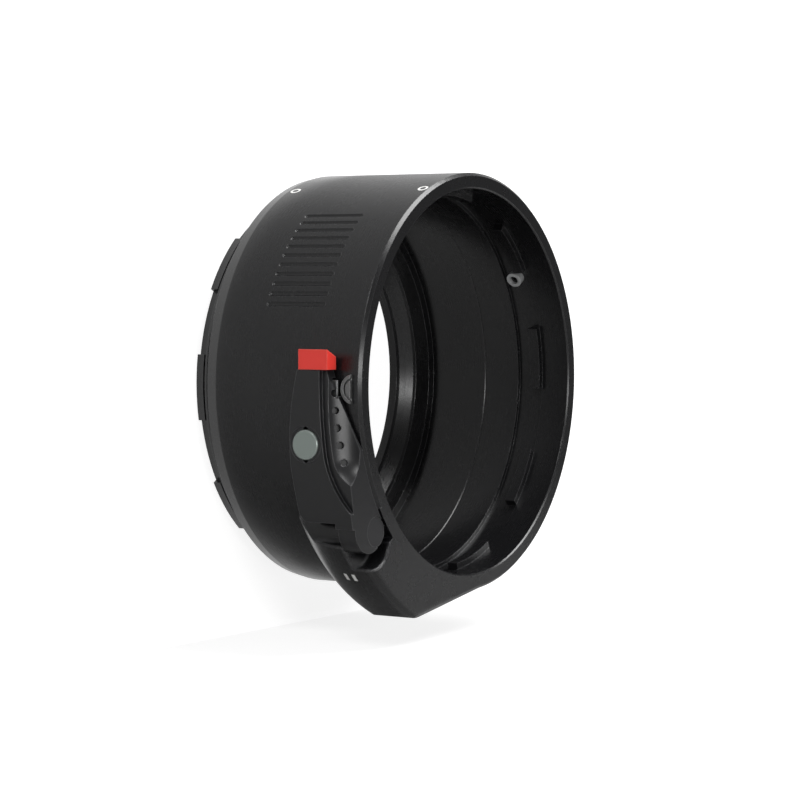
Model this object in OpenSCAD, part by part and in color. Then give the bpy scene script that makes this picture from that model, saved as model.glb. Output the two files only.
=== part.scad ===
// Extension ring for an underwater camera housing.
// It goes between the housing and a lens port: a turned and milled aluminium barrel
// with a bayonet spigot at its rear, a sealing bore and a bayonet socket at its front,
// and a hinged lever at its side that locks the port.
// The origin is the centre of the rear seat, +Z runs to the front, +Y to the index
// marks and -X to the lever.

/* [Barrel] */
// Radius of the sealing bore that takes the port
bore_r = 59.2; // [57:0.1:66]
// Wall round the sealing bore
barrel_wall = 4.8; // [4.7:0.1:5.4]
// Length from the rear seat to the front face, which is the extension
barrel_len = 55; // [52:1:70]
// How far the inner wall stands in from the sealing bore
wall_in = 0.7; // [0.6:0.1:1.2]
// Distance from the front face to the fine line turned in the inner wall
wall_line_back = 31; // [24:1:36]
// Chamfer of the front rim's outer edge
rim_chamfer = 0.9; // [0.3:0.1:1.5]
// How far the rear taper draws the barrel in
taper_in = 0.7; // [0.2:0.1:1.5]
// Length of the rear taper
taper_len = 3.6; // [2:0.2:6]

/* [Front socket] */
// Depth of the sealing bore
bore_len = 9.8; // [8:0.2:10.4]
// Height of the socket lugs inside the bore
socket_lug_h = 2; // [1.6:0.1:2.4]
// Thickness of the socket lugs along the axis
socket_lug_t = 3.5; // [3:0.1:4]
// Length of the turning groove, from the front of the lugs
turn_groove_len = 8.7; // [7.6:0.1:10]
// Depth of the turning groove, measured from the sealing bore
turn_depth = 0.6; // [0.5:0.1:1]

/* [Rear spigot] */
// Clearance between a spigot's land and the bore that it enters
port_clearance = 0.15; // [0.1:0.05:0.3]
// Length of the land
land_len = 4.2; // [3.9:0.1:4.8]
// Whole length of the spigot
spigot_len = 7.7; // [7.5:0.1:9]
// Clearance between the spigot's neck and the lugs of a socket
neck_clearance = 0.2; // [0.1:0.05:0.4]
// Clearance between the spigot's lugs and the bore that they pass
spigot_lug_clearance = 0.75; // [0.7:0.05:1]
// Thickness of the spigot's lugs along the axis
spigot_lug_t = 2.5; // [2:0.1:2.6]
// How far the rear opening stands in from the sealing bore
aperture_in = 10.3; // [9:0.1:12]
// Cord diameter of the seal
seal_d = 2; // [1.8:0.1:2.2]
// How far the seal stands out of its groove
seal_proud = 0.25; // [0.15:0.05:0.35]

/* [Bayonet] */
// Number of lugs at each end
lug_count = 9; // [6:1:10]
// Width of a lug in degrees
lug_angle = 19.6; // [12:0.2:22]
// Place of the first socket lug in degrees
socket_lug_at = 5.5; // [4:0.5:7]
// Place of the first spigot lug in degrees
spigot_lug_at = 181; // [0:0.5:359]

/* [Grips] */
// Number of grip grooves in a panel
groove_count = 11; // [5:1:11]
// Angle between two grip grooves
groove_step = 2.97; // [2.6:0.01:3.2]
// Place of the index marks, with a grip panel on each side of it
index_at = 110.5; // [100:0.5:115]
// Angle from the index marks to the nearest groove
groove_from_index = 17.5; // [14:0.5:20]
// Length of a grip groove
groove_len = 19.4; // [14:0.2:24]
// Distance from the rear seat to a groove's rear end
groove_z = 19.7; // [12:0.1:24]
// Radius of the ball cutter that mills the grooves
groove_cutter_r = 0.9; // [0.6:0.1:1.2]
// Depth of a groove
groove_depth = 0.5; // [0.3:0.1:0.8]

/* [Lock housing] */
// How far the lock housing stands out from the barrel
housing_proud = 14.1; // [13.5:0.1:16]
// Length of the lock housing behind the front face
housing_len = 24; // [22:0.5:26]
// Length of the housing's straight part, before its back rounds off
housing_flat = 8; // [6:0.5:10]
// Radius of the housing's rounded back
housing_crown_r = 22; // [20:0.5:26]
// Place of the flat underside, in degrees below the lever's side
housing_foot_at = 98.5; // [94:0.5:104]
// Radius of the housing's lower corner
housing_corner_r = 16; // [10:0.5:20]
// Radius of the housing's rounded edges
housing_edge_r = 2.4; // [1:0.1:3]
// Radius of the hinge knuckle
knuckle_r = 6.4; // [6:0.1:6.8]

/* [Lever] */
// Place of the hinge, in degrees below the lever's side
pivot_at = 37.2; // [34:0.1:40]
// Distance from the barrel's surface to the hinge axis
pivot_out = 5; // [4.8:0.1:5.6]
// How far the lever's face stands out from the barrel
lever_proud = 6.8; // [6.4:0.1:8]
// Radius of the lever's long outer face
face_r = 110; // [90:5:140]
// Level of the highest point of that face, below the ring's centre
face_level = 12; // [8:1:16]
// Width of the lever behind the front face
lever_w = 20; // [19.4:0.1:21]
// Thickness of the lever's stem at the hinge
stem_t = 6; // [5.4:0.1:6.4]
// Gap between the lever and the barrel
lever_gap = 0.6; // [0.5:0.1:0.8]
// Height of the lever's top end above the ring's centre
lever_top = 5.6; // [4:0.2:7]
// Radius of the ball cutter that mills the finger scoop
scoop_r = 12; // [11:0.5:13]
// Number of blind holes in the scoop
scoop_holes = 5; // [3:1:5]
// Diameter of a blind hole in the scoop
scoop_hole_d = 2.1; // [1.5:0.1:2.4]
// Depth of the ledge along the lever's face
ledge_depth = 1.5; // [0.8:0.1:1.8]
// How far the lever opens, in degrees
lever_travel = 35; // [25:1:40]

/* [Tab] */
// Height of the tab above the lever's end
tab_h = 5.9; // [5:0.1:7]
// Length of the tab along the ring's axis
tab_w = 10; // [9:0.2:11]
// Thickness of the tab
tab_t = 4.6; // [4.2:0.1:5.2]

/* [Release button] */
// Diameter of the button
button_d = 8.7; // [8:0.1:9]
// Level of the button below the ring's centre
button_level = 16; // [14:0.5:17]
// Distance from the front face to the button's axis
button_back = 14.4; // [13.8:0.1:14.4]
// Travel of the button
button_travel = 1.2; // [0.8:0.1:1.3]
// How far the button stands out
button_out = 0.5; // [0.2:0.1:1]

/* [Lock] */
// Diameter of the lock bolt
bolt_d = 2.8; // [2.4:0.1:3]
// Travel of the lock bolt
bolt_travel = 1.6; // [1.2:0.1:1.6]
// Diameter of the pivot pin
pin_d = 4; // [3.6:0.1:4]
// Diameter of the pivot pin's head
pin_head_d = 8.8; // [8:0.1:8.8]
// Diameter of the stop pin inside the ring
stop_d = 5; // [4:0.1:5.4]
// Place of the stop pin in degrees
stop_at = 32.8; // [28:0.1:33]
// Distance from the front face to the stop pin's axis
stop_back = 14.3; // [13:0.1:17]
// How far the stop pin stands in from the wall
stop_proud = 1.2; // [0.8:0.1:1.6]

/* [Hidden] */
$fn = 96;
// A length that is longer than anything it has to cut
far = 200;
// Overlap of a cut past the face that it opens
eps = 0.5;
// Running clearance of the hinge and of the bolt
run = 0.04;
// Sliding clearance of the button
slide = 0.15;
// Gap between pieces that lie close without touching
gap = 0.3;
// Colours that several pieces share
black = [0.09, 0.09, 0.10];
steel = [0.72, 0.73, 0.73];

// Radii of the barrel, all counted from the sealing bore
barrel_r = bore_r + barrel_wall;
seat_r = barrel_r - taper_in;
wall_r = bore_r - wall_in;
turn_groove_r = bore_r + turn_depth;
socket_lug_r = bore_r - socket_lug_h;
land_r = bore_r - port_clearance;
neck_r = socket_lug_r - neck_clearance;
spigot_lug_r = bore_r - spigot_lug_clearance;
aperture_r = bore_r - aperture_in;
wall_line_z = barrel_len - wall_line_back;

// Rear spigot
groove_r = land_r + seal_proud - seal_d;
seal_groove_z = 1.2;
seal_groove_w = seal_d + 0.2;
// The rear opening: a flange, a cone that catches the light, a step and a second cone
flange_z = 3.7;
flange_r = bore_r - 3.7;
cone_r = flange_r - 1.5;
cone_z = -0.5;
step_r = cone_r - 1;
step_z = -1;
throat_r = aperture_r + 1.2;
throat_z = -4.5;

// Front socket
socket_z = barrel_len - bore_len;
turn_z = socket_z - socket_lug_t;
// The turning groove starts just behind the front faces of the lugs
turn_start = socket_z - 0.1;
turn_end = socket_z - turn_groove_len;
stop_z = barrel_len - stop_back;
// Metal left under the stop pin's hole
stop_floor = 1.3;

// Lock housing
housing_r = barrel_r + housing_proud;
housing_z = barrel_len - housing_len;
foot_tilt = housing_foot_at - 90;
corner_out = housing_r - housing_corner_r;
corner_at = housing_foot_at - acos((barrel_r - housing_corner_r) / corner_out);

// Lever
pivot_r = barrel_r + pivot_out;
lever_front = barrel_len - 0.4;
stem_z = lever_front - stem_t;
pocket_z = stem_z - gap;
washer_t = 0.45;
lever_in = barrel_r + lever_gap;
// Height of the plate's lower edge above the hinge axis
plate_above = 3.1;
hub_r = 7.4;
hub_off = [3.6, -1.4];
pocket_r = 9;
lever_rear = barrel_len - lever_w;
lever_low = pivot_r * sin(pivot_at) - plate_above;
// Slope of the room that the plate's lower corner swings into
relief_slope = lever_travel - atan2(plate_above, lever_proud + barrel_r - pivot_r * cos(pivot_at)) + 2;

// Cam and bolt
cam_r = pivot_out - gap;
sleeve_r = cam_r - 0.2;
cam_top_r = sleeve_r - 0.3;
bolt_z = turn_z - 0.5;
cam_z = bolt_z - bolt_d / 2 - 0.2;
cam_top = bolt_z + bolt_d / 2 + 0.2;
sleeve_floor = cam_z - washer_t - 0.05;
bolt_tip = spigot_lug_r - 1;
bolt_head_d = bolt_d + 2;
bolt_head_t = 0.8;
// The bolt's head stays under the sleeve, and a narrow nub on it follows the cam
nub_r = 0.9;
nub_gap = 0.65;
bolt_top = pivot_r - cam_top_r - nub_gap;
bolt_head_top = pivot_r - sleeve_r - bolt_travel - slide;
nub_h = bolt_top - bolt_head_top;
bolt_seat = turn_groove_r + 1.3;

// Button
button_z = barrel_len - button_back;
guide_t = 0.8;
button_bore = button_d / 2 + slide;
stem_r = 1.5;

// Turns a place given as [outwards, downwards] on the lever's side into x and y
function side(p) = [-p[0], -p[1]];
// Turns a radius and an angle below the lever's side into x and y
function around(r, a) = [-r * cos(a), -r * sin(a)];
pivot = around(pivot_r, pivot_at);

// Moves its children to the hinge axis
module at_pivot() {
    translate([pivot[0], pivot[1], 0]) children();
}

// Turns its children from +X to a place given in degrees
module at_angle(a) {
    rotate([0, 0, a]) children();
}

// One lug of a bayonet: a sector between two radii
module lug(r_in, r_out, z_low, t, at) {
    at_angle(at - lug_angle / 2)
        rotate_extrude(angle = lug_angle, $fn = 180)
            translate([r_in, z_low])
                square([r_out - r_in, t]);
}

// The barrel's section, from the rear opening round the outside to the front
module barrel_section() {
    polygon([
        [aperture_r, -spigot_len],
        [neck_r, -spigot_len],
        [neck_r, -land_len],
        [land_r, -land_len],
        [land_r, -seal_groove_z - seal_groove_w],
        [groove_r, -seal_groove_z - seal_groove_w],
        [groove_r, -seal_groove_z],
        [land_r, -seal_groove_z],
        [land_r, 0],
        [seat_r, 0],
        [barrel_r, taper_len],
        [barrel_r, barrel_len - rim_chamfer],
        [barrel_r - rim_chamfer, barrel_len],
        [bore_r + 0.4, barrel_len],
        [bore_r, barrel_len - 0.4],
        [bore_r, turn_start],
        [turn_groove_r, turn_start],
        [turn_groove_r, turn_end],
        [wall_r, turn_end],
        [wall_r, wall_line_z + 0.3],
        [wall_r + 0.25, wall_line_z],
        [wall_r, wall_line_z - 0.3],
        [wall_r, flange_z],
        [flange_r, flange_z],
        [cone_r, cone_z],
        [step_r, step_z],
        [throat_r, throat_z],
        [aperture_r, throat_z - 0.5]
    ]);
}

// Outline of the lock housing, seen from the front
module housing_outline() {
    foot = around(barrel_r, housing_foot_at);
    corner = around(corner_out, corner_at);
    corner_foot = corner + around(housing_corner_r, housing_foot_at);
    intersection() {
        circle(r = housing_r, $fn = 180);
        polygon([[0, 0], around(far, pivot_at - 4), around(far, corner_at)]);
    }
    translate(corner)
        circle(r = housing_corner_r);
    polygon([[0, 0], corner, corner_foot, foot]);
    translate(pivot)
        circle(r = knuckle_r);
}

// The housing's section round the ring's axis, with its rounded front and rear edges
module housing_section() {
    e = housing_edge_r;
    intersection() {
        union() {
            translate([0, housing_z])
                square([housing_r - e, housing_len]);
            translate([0, housing_z])
                square([housing_r, housing_len - e]);
            translate([housing_r - e, barrel_len - e])
                circle(r = e);
        }
        union() {
            translate([0, barrel_len - housing_flat])
                square([housing_r, housing_flat]);
            translate([housing_r - housing_crown_r, barrel_len - housing_flat])
                circle(r = housing_crown_r, $fn = 120);
        }
    }
}

// The U-shaped pocket that the lever's stem turns in
module pocket_outline() {
    lip = side([pivot_r * cos(pivot_at) + 2, pivot_r * sin(pivot_at) + 10.8]);
    difference() {
        union() {
            translate(pivot + side([2, 1.8]))
                circle(r = pocket_r);
            polygon([lip, lip + side([22, -4]), lip + side([22, -60]),
                     lip + side([-14, -60]), lip + side([-11, -9])]);
        }
        circle(r = barrel_r, $fn = 180);
    }
}

// The room behind the stem that the lever's wide part swings through
module swing_outline() {
    difference() {
        translate(pivot)
            polygon([[0, 0], around(60, relief_slope), around(60, -10), around(60, -60), around(60, -110)]);
        circle(r = barrel_r, $fn = 180);
        translate(pivot)
            circle(r = knuckle_r);
    }
}

module lock_housing() {
    difference() {
        intersection() {
            translate([0, 0, housing_z])
                linear_extrude(housing_len)
                    housing_outline();
            rotate_extrude($fn = 180)
                housing_section();
        }
        translate([0, 0, pocket_z])
            linear_extrude(far)
                pocket_outline();
        translate([0, 0, housing_z - eps])
            linear_extrude(pocket_z - housing_z + 2 * eps)
                swing_outline();
        // Bevel along the front edge of the flat underside
        at_angle(180 + housing_foot_at)
            translate([barrel_r, -far / 2, barrel_len - 1.4])
                rotate([0, -45, 0])
                    cube([4, far, 4]);
    }
}

// One grip groove, milled along the barrel with a ball cutter
module grip_groove(at) {
    at_angle(at)
        translate([barrel_r + groove_cutter_r - groove_depth, 0, groove_z]) {
            cylinder(r = groove_cutter_r, h = groove_len, $fn = 24);
            sphere(r = groove_cutter_r, $fn = 24);
            translate([0, 0, groove_len])
                sphere(r = groove_cutter_r, $fn = 24);
        }
}

module grips() {
    for (i = [0 : groove_count - 1])
        for (flip = [-1, 1])
            grip_groove(index_at + flip * (groove_from_index + i * groove_step));
}

module barrel() {
    color(black)
        difference() {
            union() {
                difference() {
                    union() {
                        cylinder(r = barrel_r - rim_chamfer, h = barrel_len, $fn = 180);
                        lock_housing();
                    }
                    translate([0, 0, -eps])
                        cylinder(r = (barrel_r + turn_groove_r) / 2, h = barrel_len + 2 * eps, $fn = 180);
                }
                rotate_extrude($fn = 180)
                    barrel_section();
                for (i = [0 : lug_count - 1]) {
                    lug(socket_lug_r, turn_groove_r + 0.2, turn_z, socket_lug_t,
                        socket_lug_at + i * 360 / lug_count);
                    lug(neck_r - 0.2, spigot_lug_r, -spigot_len, spigot_lug_t,
                        spigot_lug_at + i * 360 / lug_count);
                }
            }
            grips();
            // Hinge bore with the seat of the pin's end
            at_pivot() {
                translate([0, 0, sleeve_floor])
                    cylinder(r = sleeve_r + run, h = pocket_z - sleeve_floor + eps);
                translate([0, 0, housing_z - eps])
                    cylinder(d = pin_d - 1, h = housing_len);
            }
            // Bolt hole and the counterbore of its spring
            at_angle(180 + pivot_at)
                translate([0, 0, bolt_z])
                    rotate([0, 90, 0]) {
                        cylinder(d = bolt_d + 2 * run, h = pivot_r);
                        translate([0, 0, bolt_seat])
                            cylinder(d = bolt_head_d + 2 * slide, h = pivot_r - sleeve_r + 0.8 - bolt_seat);
                    }
            // Seat of the stop pin
            at_angle(stop_at)
                translate([wall_r - 3, 0, stop_z])
                    rotate([0, 90, 0])
                        cylinder(d = stop_d, h = barrel_r - stop_floor - wall_r + 3);
            // Seat of the catch key
            catch_blank(0);
        }
}

// The catch key's half-moon, shrunk by a clearance
module catch_blank(less) {
    intersection() {
        translate([-barrel_r, 0, barrel_len - 1.75])
            rotate([0, -90, 0])
                translate([0, 0, -1.8])
                    cylinder(r = 4.35 - less, h = 2.9);
        translate([-barrel_r - 5, -10, barrel_len - 10])
            cube([10, 20, 7.2 - less]);
    }
}

module catch_key() {
    color(steel)
        difference() {
            catch_blank(0);
            // Curved groove for the latch
            translate([-barrel_r, 0, barrel_len - 1.75])
                rotate([0, -90, 0])
                    translate([0, 0, 0.3])
                        difference() {
                            cylinder(r = 3.35, h = 2);
                            translate([0, 0, -eps])
                                cylinder(r = 2.75, h = 3);
                        }
        }
}

module housing_seal() {
    color([0.05, 0.05, 0.05])
        rotate_extrude($fn = 180)
            translate([groove_r + seal_d / 2, -seal_groove_z - seal_groove_w / 2])
                circle(d = seal_d, $fn = 32);
}

module stop_pin() {
    color([0.75, 0.76, 0.75])
        at_angle(stop_at)
            translate([wall_r - stop_proud, 0, stop_z])
                rotate([0, 90, 0])
                    difference() {
                        cylinder(d = stop_d, h = barrel_r - stop_floor - wall_r + stop_proud);
                        translate([0, 0, -eps])
                            cylinder(d = stop_d - 2.2, h = 7);
                    }
}

module stop_screw() {
    color(steel)
        at_angle(stop_at)
            translate([wall_r - 0.2, 0, stop_z])
                rotate([0, 90, 0])
                    difference() {
                        cylinder(d = stop_d - 2.2, h = barrel_r - stop_floor - wall_r);
                        translate([0, 0, -eps])
                            cylinder(d = 1.6, h = 2, $fn = 6);
                    }
}

module pivot_pin() {
    color([0.16, 0.16, 0.17])
        at_pivot() {
            translate([0, 0, housing_z + 0.2])
                cylinder(d = pin_d - 1, h = barrel_len - housing_z - 5);
            translate([0, 0, sleeve_floor])
                cylinder(d = pin_d, h = lever_front - 1.2 - sleeve_floor);
            translate([0, 0, lever_front - 1.2])
                cylinder(d = pin_head_d, h = 1);
        }
}

module pivot_bush() {
    color([0.72, 0.55, 0.28])
        at_pivot()
            translate([0, 0, cam_top + 0.4])
                difference() {
                    cylinder(d = pin_d + 1.6, h = lever_front - 1.8 - cam_top);
                    translate([0, 0, -eps])
                        cylinder(d = pin_d + 2 * run, h = far);
                }
}

module thrust_washer() {
    color([0.85, 0.84, 0.80])
        at_pivot()
            translate([0, 0, sleeve_floor])
                difference() {
                    cylinder(r = sleeve_r - 0.2, h = washer_t);
                    translate([0, 0, -eps])
                        cylinder(d = pin_d + 0.2, h = 2);
                }
}

// The lever's outline, seen from the front
module lever_outline(less = 0) {
    difference() {
        union() {
            intersection() {
                translate(side([barrel_r + lever_proud - face_r, face_level]))
                    circle(r = face_r - less, $fn = 360);
                translate([-far, pivot[1] - hub_off[1]])
                    square([far, lever_top - pivot[1] + hub_off[1]]);
            }
            translate(pivot + side(hub_off))
                circle(r = hub_r);
        }
        circle(r = lever_in, $fn = 180);
    }
}

// Place of the ledge's edge along the lever, as its distance from the rear seat
function ledge_edge(y) =
    barrel_len - 10.5 + 0.09 * (lever_top - y) + 0.0197 * pow(max(0, -y - 18), 2);

// Side view of the room that the ledge clears, in front of a curved edge
module ledge_side() {
    step = 2;
    low = -36;
    edge = [for (y = [lever_top + 1 : -step : low]) [y, ledge_edge(y)]];
    polygon(concat(edge, [[low - 1, barrel_len + 2], [lever_top + 1, barrel_len + 2]]));
}

// Extrudes a side view, drawn in y and z, over the whole width in x
module across() {
    translate([-far, 0, 0])
        rotate([90, 0, 90])
            linear_extrude(far)
                children();
}

// The lever's front edge beside the catch key, as a distance from the rear seat
function front_edge(y) = barrel_len - 6.9 - 0.37 * y;

// Side view of the lever: a wide upper part and a narrow stem
module lever_side() {
    difference() {
        lever_side_blank();
        polygon([
            [lever_top + 2, front_edge(lever_top + 2)],
            [-22, front_edge(-22)],
            [lever_top + 2, front_edge(-22)]
        ]);
    }
}

module lever_side_blank() {
    union() {
        polygon([
            [lever_top + 1, lever_rear + 1.8],
            [-4, lever_rear + 0.5],
            [-12, lever_rear],
            [-22, lever_rear],
            [-lever_low + 2, lever_rear + 1.6],
            [-lever_low, lever_rear + 3.2],
            [-lever_low, stem_z + 0.2],
            [lever_top + 1, stem_z + 0.2]
        ]);
        translate([-60, stem_z])
            square([60 + lever_top + 1, lever_front - stem_z]);
    }
}

// The cam on the lever's sleeve: a spiral that lets the bolt out as the lever opens
module cam_outline() {
    facing = pivot_at;
    drop = bolt_travel / lever_travel;
    polygon([for (a = [-180 : 6 : 174])
        let (turn = min(max(-a, 0), lever_travel + 10))
        let (back = a > 90 ? 0 : turn)
        let (r = cam_top_r - drop * back)
        [r * cos(facing + a), r * sin(facing + a)]]);
}

module lever_arm() {
    color(black)
        difference() {
            union() {
                intersection() {
                    translate([0, 0, lever_rear - 2])
                        linear_extrude(lever_front - lever_rear + 2)
                            lever_outline();
                    across()
                        lever_side();
                }
                at_pivot() {
                    translate([0, 0, cam_top])
                        cylinder(r = sleeve_r, h = stem_z - cam_top + 0.1);
                    translate([0, 0, cam_z])
                        linear_extrude(cam_top - cam_z + 0.1)
                            cam_outline();
                }
            }
            // Room for the housing's knuckle
            at_pivot()
                translate([0, 0, lever_rear - eps])
                    difference() {
                        cylinder(r = knuckle_r + gap, h = stem_z - lever_rear + eps);
                        translate([0, 0, cam_z - lever_rear + eps])
                            cylinder(r = sleeve_r, h = far);
                    }
            // Ledge in front of the finger plate
            intersection() {
                translate([0, 0, lever_rear])
                    linear_extrude(far)
                        difference() {
                            translate([-far / 2, -far / 4])
                                square([far / 2, far / 2]);
                            translate(side([barrel_r + lever_proud - face_r, face_level]))
                                circle(r = face_r - ledge_depth, $fn = 360);
                        }
                across()
                    ledge_side();
            }
            scoop();
            scoop_drill();
            // Hinge bore
            at_pivot() {
                translate([0, 0, cam_z - eps])
                    cylinder(d = pin_d + 0.3, h = far);
                translate([0, 0, cam_top + 0.4])
                    cylinder(d = pin_d + 1.6, h = far);
                translate([0, 0, lever_front - 1.3])
                    cylinder(d = pin_head_d + 2 * slide, h = 5);
            }
            button_room();
            latch_room();
            // Screw hole of the tab
            tab_screw_blank(0.02);
        }
}

// The finger scoop, milled with a large ball cutter
module scoop() {
    upper = [-barrel_r - 9.4, lever_top + 6, barrel_len + 2];
    lower = [-barrel_r - 10.4, -18.5, barrel_len + 4.6];
    run_len = norm(upper - lower);
    tilt_z = atan2(upper[2] - lower[2], upper[1] - lower[1]);
    tilt_x = atan2(upper[0] - lower[0], upper[1] - lower[1]);
    translate(lower)
        rotate([-90 + tilt_z, 0, -tilt_x])
            rotate_extrude($fn = 72)
                intersection() {
                    union() {
                        circle(r = scoop_r);
                        square([scoop_r, run_len + 6]);
                    }
                    translate([0, -scoop_r])
                        square([scoop_r, far]);
                }
}

// The row of blind holes along the scoop
module scoop_drill() {
    for (i = [0 : scoop_holes - 1])
        translate([-barrel_r - 2.9, -1.1 - 5 * i, barrel_len - 7 + 0.18 * i * (1 + i)])
            rotate([0, -45, 0])
                translate([0, 0, -1.6])
                    cylinder(d = scoop_hole_d, h = 12, $fn = 24);
}

// The outer face of the lever at the button
function face_x(y) =
    -(barrel_r + lever_proud - face_r + sqrt(face_r * face_r - pow(y + face_level, 2)));

module button_axis() {
    translate([face_x(-button_level), -button_level, button_z])
        rotate([0, 90, 0])
            children();
}

// The room that the button and its guide need in the lever
module button_room() {
    button_axis() {
        translate([0, 0, -2])
            cylinder(r = button_bore + guide_t, h = 2 + 4.9);
        cylinder(r = stem_r + slide, h = 14);
    }
}

module button_guide() {
    color(black)
        button_axis()
            difference() {
                translate([0, 0, 0.1])
                    cylinder(r = button_bore + guide_t, h = 4.8);
                translate([0, 0, -eps])
                    cylinder(r = button_bore, h = 8);
                // Two spanner notches
                for (a = [0, 180])
                    rotate([0, 0, 90 + a])
                        translate([button_d / 2, 0, 0])
                            cylinder(r = 0.9, h = 1.6, $fn = 24);
            }
}

module release_button() {
    color([0.58, 0.62, 0.60])
        button_axis() {
            translate([0, 0, -button_out]) {
                cylinder(r1 = button_d / 2 - 0.3, r2 = button_d / 2, h = 0.31);
                translate([0, 0, 0.3])
                    cylinder(r = button_d / 2, h = 2.2);
            }
            difference() {
                cylinder(r = stem_r, h = 6.1);
                latch_screw_blank();
            }
        }
}

module button_spring() {
    color(steel)
        button_axis()
            coil(2.9, 0.3, 2.45, 4.75, 3);
}

// A round coil spring between two levels, with closed ends
module coil(r, wire_r, z0, z1, turns) {
    sides = 6;
    per_turn = 14;
    rings = turns * per_turn;
    function centre(i) = [
        r * cos(i * 360 / per_turn),
        r * sin(i * 360 / per_turn),
        z0 + wire_r + (z1 - z0 - 2 * wire_r) * i / rings
    ];
    points = [for (i = [0 : rings]) for (k = [0 : sides - 1])
        let (c = centre(i), u = [cos(i * 360 / per_turn), sin(i * 360 / per_turn)])
        let (out = wire_r * cos(k * 360 / sides), up = wire_r * sin(k * 360 / sides))
        [c[0] + u[0] * out, c[1] + u[1] * out, c[2] + up]];
    walls = [for (i = [0 : rings - 1]) for (k = [0 : sides - 1])
        [i * sides + k, i * sides + (k + 1) % sides,
         (i + 1) * sides + (k + 1) % sides, (i + 1) * sides + k]];
    ends = [[for (k = [sides - 1 : -1 : 0]) k], [for (k = [0 : sides - 1]) rings * sides + k]];
    polyhedron(points, concat(walls, ends));
}

// The latch plate's room under the lever, and the plate itself
module latch_blank(r_in, r_out, z_low, z_high, top, low) {
    intersection() {
        rotate_extrude($fn = 180)
            translate([r_in, z_low])
                square([r_out - r_in, z_high - z_low]);
        translate([-far, -low, z_low - 1])
            cube([far, low + top, z_high - z_low + 2]);
    }
}

module latch_room() {
    latch_blank(barrel_r, barrel_r + 2.5, button_z - 3.6, button_z + 3.6, 3.2, button_level + 3.6);
    latch_blank(barrel_r, barrel_r + 2.5, button_z, barrel_len - 6.2, 3.2, 2.6);
}

module latch_plate() {
    color(steel)
        difference() {
            union() {
                latch_blank(barrel_r + 1.4, barrel_r + 2.2, button_z - 3, button_z + 3, 2.6, button_level + 3);
                latch_blank(barrel_r + 1.4, barrel_r + 2.2, button_z, barrel_len - 6.5, 2.6, 2);
            }
            button_axis()
                cylinder(r = 1.1, h = 14, $fn = 32);
        }
}

// The screw that holds the latch plate, on the button's axis
module latch_screw_blank() {
    translate([0, 0, 5.0])
        cylinder(r = 1.0, h = 2.1, $fn = 32);
}

module latch_screw() {
    color(steel)
        button_axis()
            latch_screw_blank();
}

// The moulded tab: a block whose top face leans back under the fingertip
module tab_block() {
    w0 = barrel_len - 17.6;
    translate([0, 0, w0])
        linear_extrude(tab_w)
            polygon([
                [-lever_in - 0.5, lever_top + 0.02],
                [-lever_in - 0.5 - tab_t, lever_top + 0.02],
                [-lever_in - 0.5 - tab_t, lever_top + tab_h],
                [-lever_in - 0.5, lever_top + tab_h - 2.2]
            ]);
}

module red_tab() {
    color([0.93, 0.27, 0.24])
        difference() {
            tab_block();
            tab_screw_blank(0.02);
        }
}

// The screw that holds the tab, from its top down into the lever
module tab_screw_blank(more) {
    translate([-lever_in - 0.5 - tab_t / 2, lever_top, barrel_len - 17.6 + tab_w / 2])
        rotate([90, 0, 0])
            translate([0, 0, -1.6])
                cylinder(r = 1 + more, h = 5, $fn = 32);
}

module tab_screw() {
    color(steel)
        tab_screw_blank(0);
}

module lock_bolt() {
    color(steel)
        at_angle(180 + pivot_at)
            translate([0, 0, bolt_z])
                rotate([0, 90, 0]) {
                    translate([0, 0, bolt_tip])
                        cylinder(d = bolt_d, h = bolt_head_top - bolt_tip - 0.5);
                    translate([0, 0, bolt_head_top - bolt_head_t])
                        cylinder(d = bolt_head_d, h = bolt_head_t);
                    translate([0, 0, bolt_head_top - 0.1])
                        cylinder(r = nub_r, h = nub_h + 0.1);
                }
}

module bolt_spring() {
    color(steel)
        at_angle(180 + pivot_at)
            translate([0, 0, bolt_z])
                rotate([0, 90, 0])
                    coil(1.9, 0.12, bolt_seat + 0.03, bolt_head_top - bolt_head_t - 0.03, 2);
}

barrel();
housing_seal();
stop_pin();
stop_screw();
catch_key();
pivot_pin();
pivot_bush();
thrust_washer();
lever_arm();
red_tab();
tab_screw();
release_button();
button_guide();
button_spring();
latch_plate();
latch_screw();
lock_bolt();
bolt_spring();
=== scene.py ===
"""Looks of an extension ring for an underwater camera housing.

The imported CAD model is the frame. Each of its nodes gets a smooth copy with a procedural
finish, and the paint marks, the round springs and the pale set are built here. Lengths are
in metres, +Z runs to the ring's front, +Y to its index marks and -X to its lever.
"""

from __future__ import annotations

import logging
import math
from dataclasses import dataclass, field
from enum import Enum

import bmesh
import bpy
from mathutils import Matrix, Vector


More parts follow.
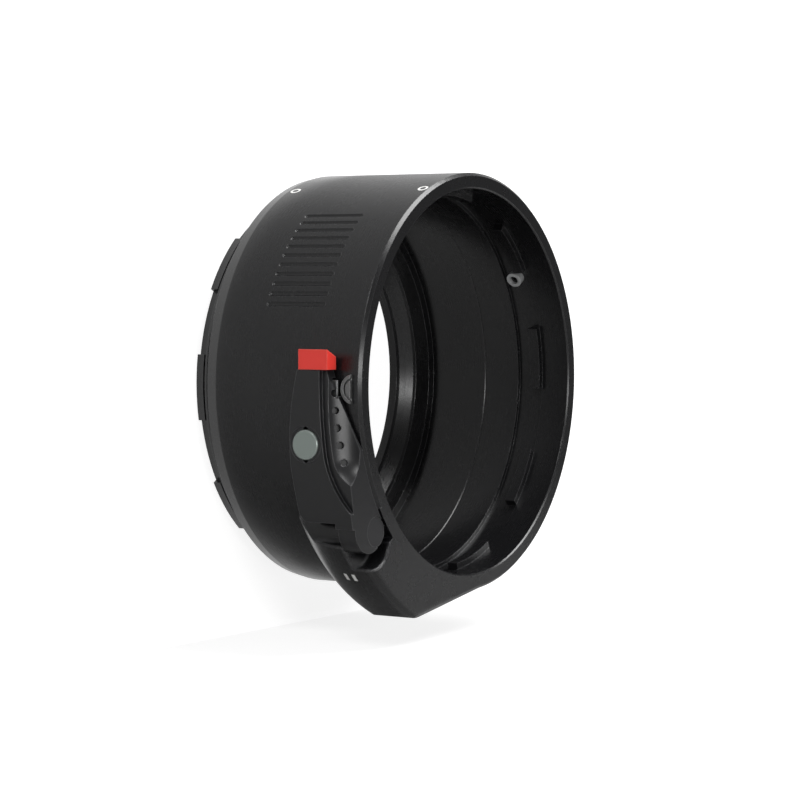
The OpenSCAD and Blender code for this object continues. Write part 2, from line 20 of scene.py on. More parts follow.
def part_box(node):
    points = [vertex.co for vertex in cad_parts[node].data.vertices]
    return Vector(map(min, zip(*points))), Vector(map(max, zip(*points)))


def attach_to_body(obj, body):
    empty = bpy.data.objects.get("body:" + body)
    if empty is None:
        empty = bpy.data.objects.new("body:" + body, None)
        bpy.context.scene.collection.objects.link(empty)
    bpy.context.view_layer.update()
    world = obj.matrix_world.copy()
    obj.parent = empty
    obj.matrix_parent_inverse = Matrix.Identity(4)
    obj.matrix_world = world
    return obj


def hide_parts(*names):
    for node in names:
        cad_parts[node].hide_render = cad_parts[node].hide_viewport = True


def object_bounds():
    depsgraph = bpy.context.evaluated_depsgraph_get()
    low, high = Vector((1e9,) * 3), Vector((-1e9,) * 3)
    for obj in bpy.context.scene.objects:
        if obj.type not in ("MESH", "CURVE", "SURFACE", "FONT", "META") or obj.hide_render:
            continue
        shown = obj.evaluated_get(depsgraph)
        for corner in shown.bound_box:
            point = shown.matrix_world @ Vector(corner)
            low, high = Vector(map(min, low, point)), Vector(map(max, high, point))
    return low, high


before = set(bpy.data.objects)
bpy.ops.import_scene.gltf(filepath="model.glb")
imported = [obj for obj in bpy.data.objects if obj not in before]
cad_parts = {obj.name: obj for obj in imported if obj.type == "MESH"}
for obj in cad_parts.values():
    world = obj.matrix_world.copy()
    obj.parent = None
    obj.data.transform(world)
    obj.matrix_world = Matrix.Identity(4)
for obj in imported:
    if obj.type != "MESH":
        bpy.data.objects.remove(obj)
CAD_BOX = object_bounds()
MM = 0.001
LOG = logging.getLogger("extension_ring")

MERGE = 0.0005 * MM  # corners closer than this are one corner
FINE_SHARE, CLOUD_SHARE = 0.4, 0.6  # of the fine grain and of the broad mottle
CLOUD_SCALE = 90.0  # of the broad mottle, per metre
ROUGH_SPREAD = 0.12  # share by which the roughness varies
HIGHLIGHT_FROM, HIGHLIGHT_FULL = 0.995, 0.90  # cosine of the bend where the painted edge highlight starts and is full
SOFT_BLEND = 2 * MM  # distance over which the edge radius grows to the soft one
LATHE_TILT = 0.09  # sideways part of the normal that a lathe-turned facet may have
TREE_CREASE = 40.0  # degrees above which a built mesh keeps a sharp edge
SPRING_FIT = 0.985  # share of the CAD spring's reach that the round one takes
HOUSING_PROUD = 14.1 * MM  # height of the lock housing above the barrel


class Grain(Enum):
    """How a surface was worked, which sets the direction of its grain."""

    BLASTED = "blasted"
    TURNED = "turned"
    MILLED = "milled"
    MOULDED = "moulded"

    @property
    def stretch(self) -> tuple[float, float, float]:
        """The scale of the grain along X, Y and Z."""
        return {
            Grain.BLASTED: (1.0, 1.0, 1.0),
            Grain.TURNED: (0.05, 0.05, 2.5),
            Grain.MILLED: (2.0, 0.08, 2.0),
            Grain.MOULDED: (1.0, 1.0, 1.0),
        }[self]


class Nodes:
    """A node tree, with short calls for adding and joining nodes."""

    def __init__(self, tree: bpy.types.NodeTree) -> None:
        """Takes over a tree.

        Args:
            tree: The tree to add nodes to.
        """
        self.tree = tree

    def add(self, kind: str, settings: dict[str, object] | None = None,
            **inputs: object) -> bpy.types.Node:
        """Adds a node.

        Args:
            kind: The node's type name.
            settings: Values of the node's own properties.
            **inputs: Values of its sockets, or sockets of other nodes to join to them, with
                underscores for the blanks in a socket's name.

        Returns:
            The new node.
        """
        node = self.tree.nodes.new(kind)
        for name, value in (settings or {}).items():
            setattr(node, name, value)
        for name, value in inputs.items():
            socket = self.socket(node, name)
            if isinstance(value, bpy.types.NodeSocket):
                self.tree.links.new(value, socket)
            else:
                socket.default_value = value
        return node

    @staticmethod
    def socket(node: bpy.types.Node, name: str) -> bpy.types.NodeSocket:
        """Finds an input by its name, or by its number after an underscore, as in _1."""
        if name[1:].isdigit() and name[0] == "_":
            return node.inputs[int(name[1:])]
        return node.inputs[name.replace("_", " ")]

    def math(self, operation: str, a: object, b: object = 0.0) -> bpy.types.NodeSocket:
        """Adds a math node and returns its output."""
        node = self.add("ShaderNodeMath", {"operation": operation}, _0=a, _1=b)
        return node.outputs[0]


class Graph(Nodes):
    """The shader nodes of a material or a world."""

    def __init__(self, owner: bpy.types.Material | bpy.types.World) -> None:
        """Empties the owner's tree and takes it over.

        Args:
            owner: The material or world, which gets nodes of its own.
        """
        owner.use_nodes = True
        super().__init__(owner.node_tree)
        self.tree.nodes.clear()

    def ramp(self, value: bpy.types.NodeSocket, start: float, end: float, low: float,
             high: float) -> bpy.types.NodeSocket:
        """Maps a value from one range to another, clamped at both ends.

        Args:
            value: The value to map.
            start: Value that gives low.
            end: Value that gives high.
            low: Result at the start.
            high: Result at the end.

        Returns:
            The mapped value.
        """
        return self.add("ShaderNodeMapRange", Value=value, From_Min=start, From_Max=end,
                        To_Min=low, To_Max=high).outputs[0]

    def off_axis(self, x: bpy.types.NodeSocket,
                 y: bpy.types.NodeSocket) -> bpy.types.NodeSocket:
        """Returns the distance of the point at x and y from the ring's axis."""
        return self.math("SQRT", self.math("ADD", self.math("POWER", x, 2.0),
                                           self.math("POWER", y, 2.0)))


@dataclass(frozen=True)
class Finish:
    """One finish of the ring: its colour, gloss, grain and the look of its edges.

    Attributes:
        name: The finish in a maker's words.
        slot: The record's material slot that it stands for.
        colour: Linear base colour.
        highlight_colour: Linear colour of the painted highlight on the edges.
        roughness: Mean roughness.
        metallic: How metallic the base is.
        grain: How the surface was worked.
        grain_size: Size of the grain, in metres.
        grain_depth: Height of the grain, in metres.
        mottle: Share by which the colour varies.
        edge_radius: Radius to which edges are broken, in metres.
        edge_highlight: How much of the painted edge highlight shows on the edges.
        coat: Weight of a clear coat.
        gloss: Specular level, where 0.5 is plain.
        soft_radius: Radius to which the edges far from the ring's axis are rounded, if any.
        soft_from: Distance from the axis at which those edges start.
    """

    name: str
    slot: str
    colour: tuple[float, float, float]
    highlight_colour: tuple[float, float, float]
    roughness: float
    metallic: float = 0.0
    grain: Grain = Grain.BLASTED
    grain_size: float = 0.2 * MM
    grain_depth: float = 0.004 * MM
    mottle: float = 0.12
    edge_radius: float = 0.25 * MM
    edge_highlight: float = 0.5
    coat: float = 0.0
    gloss: float = 0.5
    soft_radius: float = 0.0
    soft_from: float = 65 * MM

    def material(self) -> bpy.types.Material:
        """Builds the finish as a procedural material on Object coordinates.

        Returns:
            The material, which is built once and then reused.
        """
        made = bpy.data.materials.get(self.name)
        if made:
            return made
        made = bpy.data.materials.new(self.name)
        graph = Graph(made)
        place = graph.add("ShaderNodeTexCoord").outputs["Object"]
        worked = graph.add("ShaderNodeMapping", Vector=place, Scale=self.grain.stretch).outputs[0]
        fine = graph.add("ShaderNodeTexNoise", Vector=worked, Scale=1 / self.grain_size,
                         Detail=3.0, Roughness=0.6).outputs["Fac"]
        cloud = graph.add("ShaderNodeTexNoise", Vector=place, Scale=CLOUD_SCALE,
                          Detail=4.0, Roughness=0.55).outputs["Fac"]
        blend = graph.math("ADD", graph.math("MULTIPLY", fine, FINE_SHARE),
                           graph.math("MULTIPLY", cloud, CLOUD_SHARE))
        dark, light = (tuple(c * (1 + way * self.mottle) for c in self.colour) + (1.0,)
                       for way in (-1, 1))
        tint = graph.add("ShaderNodeMix", {"data_type": "RGBA"}, _0=blend, _6=dark, _7=light)
        rough = graph.ramp(blend, 0.3, 0.7, self.roughness * (1 - ROUGH_SPREAD),
                           self.roughness * (1 + ROUGH_SPREAD))
        round_edge = graph.add("ShaderNodeBevel", {"samples": 4}, Radius=self.edge_radius)
        if self.soft_radius:
            spot = graph.add("ShaderNodeSeparateXYZ", _0=place).outputs
            radius = graph.ramp(graph.off_axis(spot[0], spot[1]), self.soft_from,
                                self.soft_from + SOFT_BLEND, self.edge_radius,
                                self.soft_radius)
            graph.tree.links.new(radius, round_edge.inputs["Radius"])
        face = graph.add("ShaderNodeNewGeometry").outputs["Normal"]
        bend = graph.add("ShaderNodeVectorMath", {"operation": "DOT_PRODUCT"},
                         _0=round_edge.outputs[0], _1=face).outputs["Value"]
        # Painted highlight: where the rounded normal bends away from the face, the colour turns
        # towards the lighter highlight_colour, standing in for light caught on the broken edges.
        highlight_mask = graph.ramp(bend, HIGHLIGHT_FROM, HIGHLIGHT_FULL, 0.0, self.edge_highlight)
        highlighted = graph.add("ShaderNodeMix", {"data_type": "RGBA"}, _0=highlight_mask,
                         _6=tint.outputs[2], _7=self.highlight_colour + (1.0,))
        bump = graph.add("ShaderNodeBump", Strength=1.0, Distance=self.grain_depth, Height=fine,
                         Normal=round_edge.outputs[0])
        shader = graph.add("ShaderNodeBsdfPrincipled", Base_Color=highlighted.outputs[2],
                           Roughness=rough, Normal=bump.outputs[0], Metallic=self.metallic,
                           Specular_IOR_Level=self.gloss, Coat_Weight=self.coat,
                           Coat_Roughness=0.3)
        graph.add("ShaderNodeOutputMaterial", Surface=shader.outputs[0])
        return made


# The second colour of each finish is the painted highlight on its edges.
BLACK_TURNED = Finish("black_anodised_turned", "black_anodised", (0.006, 0.006, 0.0066),
                      (0.10, 0.10, 0.105), 0.27, 0.0, Grain.TURNED, grain_depth=0.0004 * MM,
                      edge_highlight=0.5, soft_radius=1.6 * MM)
BLACK_MILLED = Finish("black_anodised_milled", "black_anodised", (0.008, 0.008, 0.0088),
                      (0.12, 0.12, 0.125), 0.33, 0.0, Grain.BLASTED, edge_radius=0.4 * MM,
                      edge_highlight=0.6)
BARE_STEEL = Finish("machined_steel", "steel", (0.50, 0.51, 0.51), (0.80, 0.80, 0.80), 0.32,
                    1.0, Grain.MILLED, edge_highlight=0.4)
DULL_STEEL = Finish("dull_steel", "steel", (0.20, 0.20, 0.20), (0.5, 0.5, 0.5), 0.38, 0.8,
                    Grain.MILLED, edge_highlight=0.4)
OILED_STEEL = Finish("oiled_steel", "steel", (0.03, 0.03, 0.03), (0.1, 0.1, 0.1), 0.4, 0.8,
                     Grain.MILLED, edge_highlight=0.2)
DARK_STEEL = Finish("blackened_steel", "dark_steel", (0.035, 0.035, 0.037),
                    (0.42, 0.42, 0.42), 0.36, 0.5, Grain.TURNED, edge_highlight=0.7)
PALE_ALUMINIUM = Finish("turned_aluminium", "plain_aluminium", (0.62, 0.63, 0.63),
                        (0.85, 0.85, 0.85), 0.4, 0.6, Grain.TURNED, edge_highlight=0.4)
RUBBER = Finish("greased_rubber", "seal_rubber", (0.012, 0.012, 0.012), (0.03, 0.03, 0.03),
                0.42, grain=Grain.MOULDED, grain_depth=0.008 * MM, coat=0.25)
BRASS = Finish("turned_brass", "bush_brass", (0.55, 0.36, 0.12), (0.8, 0.6, 0.3), 0.3, 1.0,
               Grain.TURNED)
BEARING_PLASTIC = Finish("bearing_plastic", "white_plastic", (0.75, 0.74, 0.70),
                         (0.9, 0.9, 0.88), 0.5, grain=Grain.MOULDED)
CORAL_PLASTIC = Finish("coral_plastic", "red_plastic", (0.80, 0.045, 0.033),
                       (1.0, 0.30, 0.22), 0.42, grain=Grain.MOULDED, grain_size=0.35 * MM,
                       grain_depth=0.01 * MM, mottle=0.05, edge_radius=0.45 * MM,
                       edge_highlight=0.25)
GREY_GREEN = Finish("grey_green_anodised", "grey_anodised", (0.26, 0.30, 0.28),
                    (0.55, 0.58, 0.56), 0.36, 0.5, Grain.TURNED, mottle=0.08)
WHITE_PAINT = Finish("white_paint", "white_plastic", (0.82, 0.82, 0.80), (0.9, 0.9, 0.9),
                     0.55, grain=Grain.MOULDED, edge_radius=0.03 * MM, edge_highlight=0.0)


@dataclass
class Skin:
    """A smooth, dressed copy of a CAD node that stands for it.

    Attributes:
        node: The CAD node.
        body: The body that the copy rides on.
        finish: The copy's finish.
        crease: Angle in degrees above which two faces keep a sharp edge between them.
        turned_to: Radius out to which the node is turned about the ring's axis, if it is.
    """

    node: str
    body: str
    finish: Finish
    crease: float = 24.0
    turned_to: float = 0.0

    def build(self) -> bpy.types.Object:
        """Copies the node, joins its loose triangles and dresses it.

        Returns:
            The new piece, which rides on the body and replaces the node.
        """
        shape = bmesh.new()
        shape.from_mesh(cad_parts[self.node].data)
        bmesh.ops.remove_doubles(shape, verts=shape.verts, dist=MERGE)
        shape.verts.index_update()
        mesh = bpy.data.meshes.new(self.node + "_skin")
        mesh.from_pydata([v.co.copy() for v in shape.verts], [],
                         [[v.index for v in f.verts] for f in shape.faces])
        shape.free()
        mesh.shade_smooth()
        mesh.set_sharp_from_angle(angle=math.radians(self.crease))
        if self.turned_to:
            self.true_lathe_normals(mesh)
        return attach(mesh, self.node + "_skin", self.body, self.finish, self.node)

    def true_lathe_normals(self, mesh: bpy.types.Mesh) -> None:
        """Gives the faces that a lathe turned the exact normals of their form.

        Args:
            mesh: The joined copy of the node.
        """
        normals = [Vector(n.vector) for n in mesh.corner_normals]
        for face in mesh.polygons:
            out = Vector((face.center.x, face.center.y, 0)).normalized()
            across = Vector((-out.y, out.x, 0))
            if abs(face.normal.dot(across)) > LATHE_TILT:
                continue
            rise, reach = face.normal.z, face.normal.dot(out)
            for corner in face.loop_indices:
                spot = mesh.vertices[mesh.loops[corner].vertex_index].co
                here = Vector((spot.x, spot.y, 0)).normalized()
                if math.hypot(spot.x, spot.y) > self.turned_to:
                    old = normals[corner]
                    rise, reach = old.z, old.dot(here)
                normals[corner] = (here * reach + Vector((0, 0, rise))).normalized()
        mesh.normals_split_custom_set(normals)


def attach(mesh: bpy.types.Mesh, name: str, body: str, finish: Finish,
           *stands_for: str) -> bpy.types.Object:
    """Makes a finished mesh a piece of the object.

    Args:
        mesh: The mesh, in the frame's own place.
        name: The piece's name.
        body: The body that it rides on.
        finish: Its finish.
        *stands_for: The CAD nodes that it replaces, if any.

    Returns:
        The piece.
    """
    mesh.materials.clear()
    mesh.materials.append(finish.material())
    piece = bpy.data.objects.new(name, mesh)
    bpy.context.scene.collection.objects.link(piece)
    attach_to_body(piece, body)
    if stands_for:
        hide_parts(*stands_for)
    LOG.info("%s: %d faces, %s, on %s", name, len(mesh.polygons), finish.name, body)
    return piece


class Tree(Nodes):
    """A Geometry Nodes tree with named inputs that ends in plain, dressed geometry."""

    def __init__(self, name: str, **inputs: float) -> None:
        """Makes an empty tree.

        Args:
            name: The tree's name.
            **inputs: Its inputs with their values, which may be whole or real numbers.
        """
        super().__init__(bpy.data.node_groups.new(name, "GeometryNodeTree"))
        self.values = inputs
        self.tree.interface.new_socket("Geometry", in_out="OUTPUT",
                                        socket_type="NodeSocketGeometry")
        for key, value in inputs.items():
            kind = "NodeSocketInt" if isinstance(value, int) else "NodeSocketFloat"
            self.tree.interface.new_socket(key, in_out="INPUT", socket_type=kind)
        self.tree.interface.new_socket("Material", in_out="INPUT",
                                        socket_type="NodeSocketMaterial")
        self.start = self.tree.nodes.new("NodeGroupInput")

    def value(self, key: str) -> bpy.types.NodeSocket:
        """The socket of a named input."""
        return self.start.outputs[key]

    def mesh(self, shape: bpy.types.NodeSocket, finish: Finish) -> bpy.types.Mesh:
        """Closes the tree and turns its result into a plain mesh.

        Args:
            shape: The geometry to end with.
            finish: The finish that is set on it.

        Returns:
            The mesh, with its normals outwards and its doubles merged.
        """
        real = self.add("GeometryNodeRealizeInstances", Geometry=shape)
        dressed = self.add("GeometryNodeSetMaterial", Geometry=real.outputs[0],
                           Material=self.value("Material"))
        end = self.tree.nodes.new("NodeGroupOutput")
        self.tree.links.new(dressed.outputs[0], end.inputs[0])
        carrier = bpy.data.objects.new(self.tree.name, bpy.data.meshes.new(self.tree.name))
        bpy.context.scene.collection.objects.link(carrier)
        modifier = carrier.modifiers.new("tree", "NODES")
        modifier.node_group = self.tree
        for item in self.tree.interface.items_tree:
            if item.in_out == "INPUT":
                given = finish.material() if item.name == "Material" else self.values[item.name]
                modifier[item.identifier] = given
        graph = bpy.context.evaluated_depsgraph_get()
        mesh = bpy.data.meshes.new_from_object(carrier.evaluated_get(graph))
        carrier.modifiers.clear()
        bpy.data.objects.remove(carrier)
        joined = bmesh.new()
        joined.from_mesh(mesh)
        bmesh.ops.remove_doubles(joined, verts=joined.verts, dist=MERGE)
        bmesh.ops.recalc_face_normals(joined, faces=joined.faces)
        joined.to_mesh(mesh)
        joined.free()
        mesh.shade_smooth()
        mesh.set_sharp_from_angle(angle=math.radians(TREE_CREASE))
        return mesh


@dataclass
class Barrel:
    """The barrel with its lock housing, seal, stop pin, catch key and paint marks.

    Attributes:
        mark_at: Place of the index marks, in degrees.
        mark_r: Radius of an outlined mark.
        mark_line: Width of its line.
        mark_front: Distance of the front mark from the front face.
        mark_pitch: Distance between the two marks.
        paint: How far the paint stands out.
        bar_at: Middle of the two bars on the housing, in degrees below the -X side.
        bar_front: Distance of the middle between the bars from the front face.
        bar_len: Length of a bar round the housing.
        bar_w: Width of a bar along the ring's axis.
        bar_pitch: Distance between the two bars.
        housing_flat: Length of the housing's straight part behind the front face.
        housing_crown: Radius by which the housing drops away behind that part.
        skins: The dressed copies of CAD nodes, in their order.
        radius: Outer radius of the barrel, from the frame.
        front: Level of the front face, from the frame.
        housing_r: Outer radius of the lock housing.
    """

    mark_at: float = 113.7
    mark_r: float = 1.3 * MM
    mark_line: float = 0.7 * MM
    mark_front: float = 2.8 * MM
    mark_pitch: float = 46.2 * MM
    paint: float = 0.03 * MM
    bar_at: float = 45.3
    bar_front: float = 9.4 * MM
    bar_len: float = 2.8 * MM
    bar_w: float = 1.1 * MM
    bar_pitch: float = 2.8 * MM
    housing_flat: float = 8 * MM
    housing_crown: float = 22 * MM
    skins: list[Skin] = field(default_factory=lambda: [
        Skin("barrel", "ring", BLACK_TURNED, turned_to=64.3 * MM),
        Skin("housing_seal", "ring", RUBBER),
        Skin("stop_pin", "ring", PALE_ALUMINIUM),
        Skin("stop_screw", "ring", OILED_STEEL),
        Skin("catch_key", "ring", DULL_STEEL),
        Skin("pivot_pin", "ring", DARK_STEEL),
        Skin("thrust_washer", "ring", BEARING_PLASTIC),
    ])
    radius: float = field(init=False)
    front: float = field(init=False)
    housing_r: float = field(init=False)

    def __post_init__(self) -> None:
        """Reads the barrel's radius and front face from the frame."""
        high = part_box("barrel")[1]
        self.radius = high.y
        self.front = high.z
        self.housing_r = high.x + HOUSING_PROUD

    def build(self) -> None:
        """Builds the barrel's pieces."""
        for skin in self.skins:
            skin.build()
        self.index_marks()
        self.size_bars()

    def index_marks(self) -> bpy.types.Object:
        """Wraps the outlined index marks on the barrel's surface.

        Returns:
            The marks, as one piece.
        """
        tree = Tree("index_marks", Count=2, Pitch=self.mark_pitch, Mark_Radius=self.mark_r,
                    Line=self.mark_line, Paint=self.paint, Barrel=self.radius,
                    Level=self.front - self.mark_front, Turn=math.radians(self.mark_at))
        loop = tree.add("GeometryNodeCurvePrimitiveCircle", Resolution=48,
                        Radius=tree.value("Mark_Radius"))
        strip = tree.add("GeometryNodeCurvePrimitiveQuadrilateral",
                         Width=tree.value("Line"), Height=tree.value("Paint"))
        ring = tree.add("GeometryNodeCurveToMesh", Curve=loop.outputs[0],
                        Profile_Curve=strip.outputs[0])
        step = tree.add("ShaderNodeCombineXYZ",
                        Y=tree.math("MULTIPLY", tree.value("Pitch"), -1.0))
        line = tree.add("GeometryNodeMeshLine", {"mode": "OFFSET"},
                        Count=tree.value("Count"), Offset=step.outputs[0])
        copies = tree.add("GeometryNodeInstanceOnPoints", Points=line.outputs[0],
                          Instance=ring.outputs[0])
        flat = tree.add("GeometryNodeRealizeInstances", Geometry=copies.outputs[0])
        place = tree.add("ShaderNodeSeparateXYZ",
                         _0=tree.add("GeometryNodeInputPosition").outputs[0])
        angle = tree.math("ADD", tree.math("DIVIDE", place.outputs[0], tree.value("Barrel")),
                          tree.value("Turn"))
        out = tree.math("ADD", tree.value("Barrel"), place.outputs[2])
        wrapped = tree.add(
            "ShaderNodeCombineXYZ",
            X=tree.math("MULTIPLY", out, tree.math("COSINE", angle)),
            Y=tree.math("MULTIPLY", out, tree.math("SINE", angle)),
            Z=tree.math("ADD", place.outputs[1], tree.value("Level")))
        marks = tree.add("GeometryNodeSetPosition", Geometry=flat.outputs[0],
                         Position=wrapped.outputs[0])
        return attach(tree.mesh(marks.outputs[0], WHITE_PAINT), "index_marks", "ring",
                      WHITE_PAINT)

    def housing_radius(self, z: float) -> float:
        """The lock housing's outer radius at a level, straight in front and then crowned."""
        behind = max(0.0, self.front - self.housing_flat - z)
        crown = self.housing_crown
        return self.housing_r - crown + math.sqrt(crown * crown - behind * behind)

    def size_bars(self) -> bpy.types.Object:
        """Paints two plain bars on the lock housing.

        Returns:
            The bars, as one piece.
        """
        shape = bmesh.new()
        steps = 12
        start = math.radians(self.bar_at)
        spread = self.bar_len / self.housing_r
        for place in (0.5, -0.5):
            middle = self.front - self.bar_front + place * self.bar_pitch
            corners = [(middle + side * self.bar_w / 2, rise * self.paint)
                       for side, rise in ((-1, -1), (-1, 1), (1, 1), (1, -1))]
            rings = []
            for i in range(steps + 1):
                angle = start + (i / steps - 0.5) * spread
                ring = []
                for z, rise in corners:
                    out = self.housing_radius(z) + rise
                    spot = (-out * math.cos(angle), -out * math.sin(angle), z)
                    ring.append(shape.verts.new(spot))
                rings.append(ring)
            for near, next_ring in zip(rings, rings[1:]):
                for k in range(4):
                    shape.faces.new((near[k], near[(k + 1) % 4],
                                     next_ring[(k + 1) % 4], next_ring[k]))
            shape.faces.new(rings[0])
            shape.faces.new(rings[-1])
        bmesh.ops.recalc_face_normals(shape, faces=shape.faces)
        mesh = bpy.data.meshes.new("size_bars")
        shape.to_mesh(mesh)
        shape.free()
        return attach(mesh, "size_bars", "ring", WHITE_PAINT)


@dataclass
class Spring:
    """A round coil spring that stands for a faceted CAD one.

    Attributes:
        node: The CAD node.
        body: The body that the spring rides on.
        axis: Direction from its first to its last turn.
        turns: Number of turns.
        wire: Radius of the wire.
    """

    node: str
    body: str
    axis: Vector
    turns: float
    wire: float

    def build(self) -> bpy.types.Object:
        """Winds the spring in the node's place.

        Returns:
            The spring.
        """
        points = [v.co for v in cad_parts[self.node].data.vertices]
        along = [p.dot(self.axis) for p in points]
        middle = sum(points, Vector()) / len(points)
        line = middle - self.axis * middle.dot(self.axis)
        reach = max((p - self.axis * p.dot(self.axis) - line).length for p in points)
        tree = Tree(self.node + "_coil", Radius=reach * SPRING_FIT - self.wire, Wire=self.wire,
                    Height=(max(along) - min(along)) - 2 * self.wire, Turns=self.turns)
        helix = tree.add("GeometryNodeCurveSpiral", Resolution=32,
                         Rotations=tree.value("Turns"), Start_Radius=tree.value("Radius"),
                         End_Radius=tree.value("Radius"), Height=tree.value("Height"))
        profile = tree.add("GeometryNodeCurvePrimitiveCircle", Resolution=12,
                           Radius=tree.value("Wire"))
        wound = tree.add("GeometryNodeCurveToMesh", Curve=helix.outputs[0],
                         Profile_Curve=profile.outputs[0], Fill_Caps=True)
        mesh = tree.mesh(wound.outputs[0], BARE_STEEL)
        start = line + self.axis * (min(along) + self.wire)
        mesh.transform(Matrix.Translation(start)
                       @ self.axis.to_track_quat("Z", "X").to_matrix().to_4x4())
        return attach(mesh, self.node + "_coil", self.body, BARE_STEEL, self.node)


@dataclass
class Lever:
    """The hinged lever with its tab, release button and latch.

    Attributes:
        skins: The dressed copies of CAD nodes, in their order.
    """

    skins: list[Skin] = field(default_factory=lambda: [
        Skin("lever_arm", "lever", BLACK_MILLED, crease=11.0),
        Skin("red_tab", "lever", CORAL_PLASTIC),
        Skin("tab_screw", "lever", BARE_STEEL),
        Skin("pivot_bush", "lever", BRASS),
        Skin("button_guide", "lever", BLACK_MILLED),
        Skin("release_button", "button", GREY_GREEN),
        Skin("latch_plate", "button", BARE_STEEL),
        Skin("latch_screw", "button", BARE_STEEL),
    ])

    def build(self) -> None:
        """Builds the lever's pieces."""
        for skin in self.skins:
            skin.build()
        Spring("button_spring", "lever", Vector((1, 0, 0)), 3.0, 0.3 * MM).build()


@dataclass
class Lock:
    """The bolt that the lever moves, with its spring.

    Attributes:
        pivot_at: Direction of the bolt from the ring's axis, in degrees below the -X side.
    """

    pivot_at: float = 37.2

    def build(self) -> None:
        """Builds the lock's pieces."""
        Skin("lock_bolt", "bolt", BARE_STEEL).build()
        angle = math.radians(self.pivot_at)
        axis = Vector((-math.cos(angle), -math.sin(angle), 0))
        Spring("bolt_spring", "ring", axis, 2.0, 0.12 * MM).build()


@dataclass
class Lamp:
    """A soft lamp.

    Attributes:
        name: The lamp's name.
        towards: Direction from the ring to the lamp.
        distance: Its distance from the ring.
        width: Width of its panel.
        height: Height of its panel.
        power: Its power in watts.
    """

    name: str
    towards: tuple[float, float, float]
    distance: float
    width: float
    height: float
    power: float

    def build(self, centre: Vector) -> None:
        """Hangs the lamp.

        Args:
            centre: The point that it faces.
        """
        data = bpy.data.lights.new(self.name, "AREA")
        data.shape = "RECTANGLE"
        data.size = self.width
        data.size_y = self.height
        data.energy = self.power
        lamp = bpy.data.objects.new(self.name, data)
        bpy.context.scene.collection.objects.link(lamp)
        way = Vector(self.towards).normalized()
        lamp.location = centre + way * self.distance
        lamp.rotation_euler = way.to_track_quat("Z", "Y").to_euler()


@dataclass(frozen=True)
class Paper:
    """A large pale sheet of the set.

    Attributes:
        name: The sheet's name.
        side: Length of its side.
        white: How much light it returns.
        glow: Brightness that the camera sees on it where no light falls.
        shine: Share of that glow which reflections see on its far side.
    """

    name: str
    side: float
    white: float
    glow: float
    shine: float


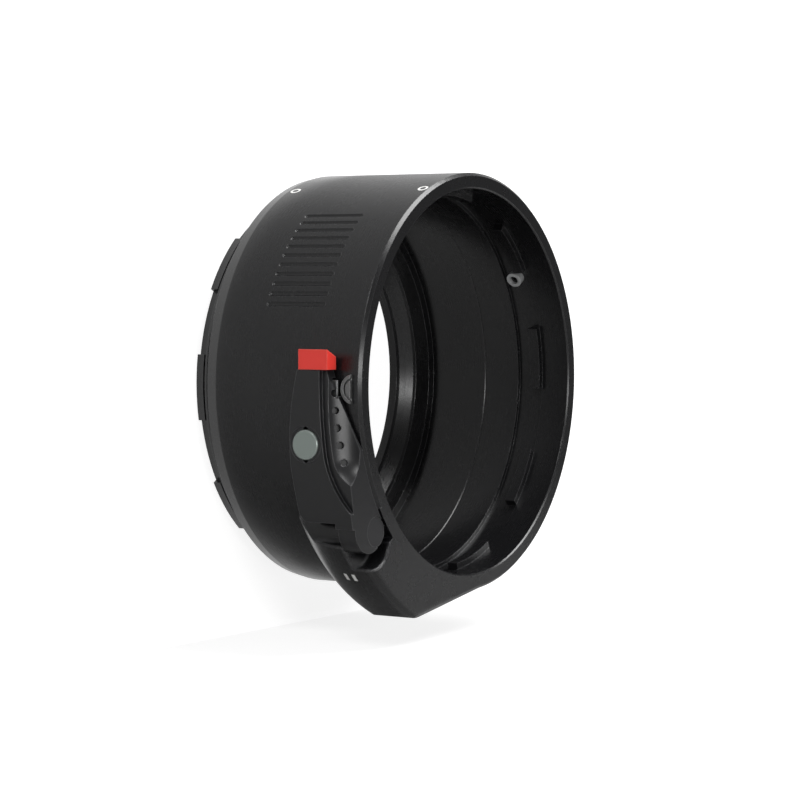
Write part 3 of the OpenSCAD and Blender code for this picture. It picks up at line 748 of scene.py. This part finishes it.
@dataclass
class Studio:
    """The pale set: a floor, a backdrop, lamps, the world and the camera.

    Attributes:
        turn: Angle of the camera from the ring's axis, in degrees.
        lift: Its elevation above the ring's axis, in degrees.
        distance: Its distance from the centre of the front face.
        focal: Its focal length in pixels of the frame.
        side_px: Side of the square frame in pixels.
        face_px: Where the centre of the front face lies in the frame.
        ground: Level of the surface that the ring lies on in the photograph, along Y.
        floor: The sheet under the rear end.
        backdrop: The sheet that the ring lies on in the photograph.
        sky: Level of the world's light on the ring.
        mirror_ring: Inner and outer radii, start and end each, between which reflections
            see a sheet's glow in full.
        mirror_ring_low: What is left of the glow inside and outside that ring.
        far_side: Where along X the glow for reflections starts to grow and is full.
        far_side_low: Share of the glow before it grows.
        lamps: The lamps.
    """

    turn: float = 57.43
    lift: float = 2.72
    distance: float = 0.802
    focal: float = 2614.0
    side_px: float = 800.0
    face_px: tuple[float, float] = (475.15, 381.95)
    ground: float = -78.0 * MM
    floor: Paper = Paper("floor", 6.0, 0.45, 0.86, 0.3)
    backdrop: Paper = Paper("backdrop", 0.7, 0.35, 0.84, 0.1)
    sky: float = 0.14
    mirror_ring: tuple[float, float, float, float] = (48 * MM, 58 * MM, 72 * MM, 80 * MM)
    mirror_ring_low: tuple[float, float] = (0.3, 0.08)
    far_side: tuple[float, float] = (-30 * MM, 40 * MM)
    far_side_low: float = 0.05
    lamps: list[Lamp] = field(default_factory=lambda: [
        Lamp("top_box", (0.3, 0.8, 0.48), 0.8, 0.6, 0.4, 8.0),
        Lamp("rim_strip", (-0.5, 0.1, 0.82), 1.0, 0.1, 0.5, 2.6),
        Lamp("lever_box", (-1.0, 0.9, 0.3), 1.2, 0.3, 0.3, 4.2),
    ])

    def build(self) -> None:
        """Builds the set round the ring."""
        low, high = CAD_BOX
        centre = (low + high) / 2
        for lamp in self.lamps:
            lamp.build(centre)
        self.panel(self.floor, Vector((0, 0, low.z)), Vector((0, 0, 1)))
        self.panel(self.backdrop, Vector((0, self.ground, 0)), Vector((0, 1, 0)))
        self.world()
        self.camera(high.z)
        bpy.context.scene.view_settings.view_transform = "Standard"

    def paper_material(self, paper: Paper) -> bpy.types.Material:
        """Builds a sheet's material, which is clear from behind.

        Args:
            paper: The sheet.

        Returns:
            The material.
        """
        material = bpy.data.materials.new(paper.name + "_paper")
        graph = Graph(material)
        matt = graph.add("ShaderNodeBsdfDiffuse", Color=(paper.white,) * 3 + (1.0,))
        path = graph.add("ShaderNodeLightPath")
        place = graph.add("ShaderNodeTexCoord").outputs["Object"]
        spot = graph.add("ShaderNodeSeparateXYZ", _0=place).outputs
        reach = graph.off_axis(spot[0], spot[1])
        inner_start, inner_end, outer_start, outer_end = self.mirror_ring
        inner_low, outer_low = self.mirror_ring_low
        near = graph.math("MULTIPLY", graph.ramp(reach, inner_start, inner_end, inner_low, 1.0),
                          graph.ramp(reach, outer_start, outer_end, 1.0, outer_low))
        far_side = graph.ramp(spot[0], *self.far_side, self.far_side_low, paper.shine)
        mirrored = graph.math("MULTIPLY", path.outputs["Is Glossy Ray"],
                              graph.math("MAXIMUM", near, far_side))
        seen = graph.math("MAXIMUM", path.outputs["Is Camera Ray"], mirrored)
        light = graph.add("ShaderNodeEmission", Strength=graph.math("MULTIPLY", seen, paper.glow))
        lit = graph.add("ShaderNodeAddShader", _0=matt.outputs[0], _1=light.outputs[0])
        clear = graph.add("ShaderNodeBsdfTransparent")
        back = graph.add("ShaderNodeNewGeometry").outputs["Backfacing"]
        both = graph.add("ShaderNodeMixShader", _0=back, _1=lit.outputs[0],
                         _2=clear.outputs[0])
        graph.add("ShaderNodeOutputMaterial", Surface=both.outputs[0])
        return material

    def panel(self, paper: Paper, middle: Vector, normal: Vector) -> None:
        """Lays a sheet that shows from its front side only.

        Args:
            paper: The sheet.
            middle: A point on it.
            normal: Direction that its front side faces.
        """
        half = paper.side / 2
        mesh = bpy.data.meshes.new(paper.name)
        turn = normal.to_track_quat("Z", "Y")
        corners = [middle + turn @ Vector((x * half, y * half, 0))
                   for x, y in ((-1, -1), (1, -1), (1, 1), (-1, 1))]
        mesh.from_pydata(corners, [], [(0, 1, 2, 3)])
        mesh.materials.append(self.paper_material(paper))
        sheet = bpy.data.objects.new(paper.name, mesh)
        bpy.context.scene.collection.objects.link(sheet)

    def world(self) -> None:
        """Sets a dim soft sky that the camera sees as white, also through clear things."""
        world = bpy.data.worlds.new("studio")
        bpy.context.scene.world = world
        graph = Graph(world)
        path = graph.add("ShaderNodeLightPath")
        seen = graph.math("MAXIMUM", path.outputs["Is Camera Ray"],
                          path.outputs["Is Transmission Ray"])
        level = graph.math("ADD", graph.math("MULTIPLY", seen, 1 - self.sky), self.sky)
        sky = graph.add("ShaderNodeBackground", Color=(1.0, 1.0, 1.0, 1.0), Strength=level)
        graph.add("ShaderNodeOutputWorld", Surface=sky.outputs[0])

    def camera(self, front: float) -> None:
        """Places the camera at the photograph's viewing angle.

        Args:
            front: Level of the ring's front face along Z.
        """
        phi, rise = math.radians(self.turn), math.radians(self.lift)
        back = Vector((-math.sin(phi) * math.cos(rise), math.sin(rise),
                       math.cos(phi) * math.cos(rise)))
        right = Vector((math.cos(phi), 0, math.sin(phi)))
        up = back.cross(right)
        scale = self.distance / self.focal
        aside = (self.face_px[0] - self.side_px / 2) * scale
        above = -(self.face_px[1] - self.side_px / 2) * scale
        place = Vector((0, 0, front)) + back * self.distance - right * aside - up * above
        data = bpy.data.cameras.new("camera")
        data.sensor_width = 36.0
        data.lens = self.focal * data.sensor_width / self.side_px
        data.clip_start = 0.01
        data.clip_end = 20.0
        camera = bpy.data.objects.new("camera", data)
        bpy.context.scene.collection.objects.link(camera)
        axes = Matrix((right, up, back)).transposed().to_4x4()
        camera.matrix_world = Matrix.Translation(place) @ axes
        bpy.context.scene.camera = camera


def main() -> None:
    """Builds the ring's pieces in order and then the set."""
    logging.basicConfig(level=logging.INFO, format="%(name)s %(message)s")
    Barrel().build()
    Lever().build()
    Lock().build()
    Studio().build()


if __name__ == "__main__":
    main()
